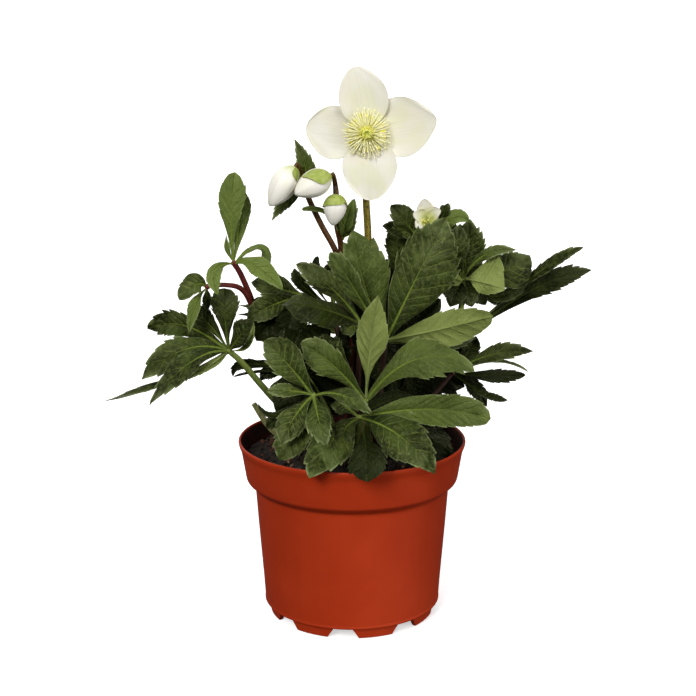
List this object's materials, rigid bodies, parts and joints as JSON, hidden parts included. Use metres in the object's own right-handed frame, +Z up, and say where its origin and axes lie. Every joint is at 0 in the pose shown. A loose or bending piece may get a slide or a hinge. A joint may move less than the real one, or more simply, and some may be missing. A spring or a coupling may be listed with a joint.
{
  "type": "potted christmas rose",
  "caption": "Flowering christmas rose plant with an open white bloom, buds and toothed palm-like leaves, growing in soil in a round tapered plastic nursery pot.",
  "frame": {"origin": "middle of the pot's foot ring, on the surface that the pot stands on", "axes": "+Z up out of the pot, -Y towards the side that the open bloom faces"},
  "size_m": [0.279, 0.1594, 0.313],
  "materials": {
    "pot plastic": "matte to satin moulded plastic",
    "soil": "moist dark peat",
    "leaf": "leathery dark green",
    "young leaf": "leathery yellow-green",
    "green stalk": "smooth green",
    "red stalk": "smooth red-brown",
    "flower stem": "smooth olive, flecked with red-brown",
    "tepal": "soft creamy white",
    "stamen": "pale yellow",
    "lime": "soft yellow-green",
    "dry stalk": "dry and fibrous"
  },
  "bodies": {
    "root": {"bloom_nectaries": "lime", "bloom_stamens": "stamen", "bloom_styles": "lime", "bloom_tepals": "tepal", "bracts_half_open": "young leaf", "bracts_left_bud": "young leaf", "bracts_middle_buds": "young leaf", "bud_left": "tepal", "bud_middle": "tepal", "bud_nodding": "tepal", "cut_stalk": "dry stalk", "half_open_centre": "lime", "half_open_tepals": "tepal", "leaf_01": "young leaf", "leaf_02": "young leaf", "leaf_03": "leaf", "leaf_04": "leaf", "leaf_05": "leaf", "leaf_06": "leaf", "leaf_07": "leaf", "leaf_08": "leaf", "leaf_09": "leaf", "leaf_10": "leaf", "leaf_11": "leaf", "leaf_12": "leaf", "leaf_13": "leaf", "leaf_14": "leaf", "leaf_15": "leaf", "leaf_16": "leaf", "leaf_17": "leaf", "leaf_18": "leaf", "leaf_19": "leaf", "leaf_20": "leaf", "pot": "pot plastic", "soil": "soil", "stalk_01": "red stalk", "stalk_02": "red stalk", "stalk_03": "green stalk", "stalk_04": "green stalk", "stalk_05": "red stalk", "stalk_06": "red stalk", "stalk_07": "green stalk", "stalk_08": "green stalk", "stalk_09": "green stalk", "stalk_10": "green stalk", "stalk_11": "green stalk", "stalk_12": "red stalk", "stalk_13": "green stalk", "stalk_14": "green stalk", "stalk_15": "green stalk", "stalk_16": "green stalk", "stalk_17": "green stalk", "stalk_18": "green stalk", "stalk_19": "green stalk", "stalk_20": "green stalk", "stem_bloom": "flower stem", "stem_half_open": "flower stem", "stem_left_bud": "flower stem", "stem_middle_buds": "flower stem"}
  },
  "joints": []
}
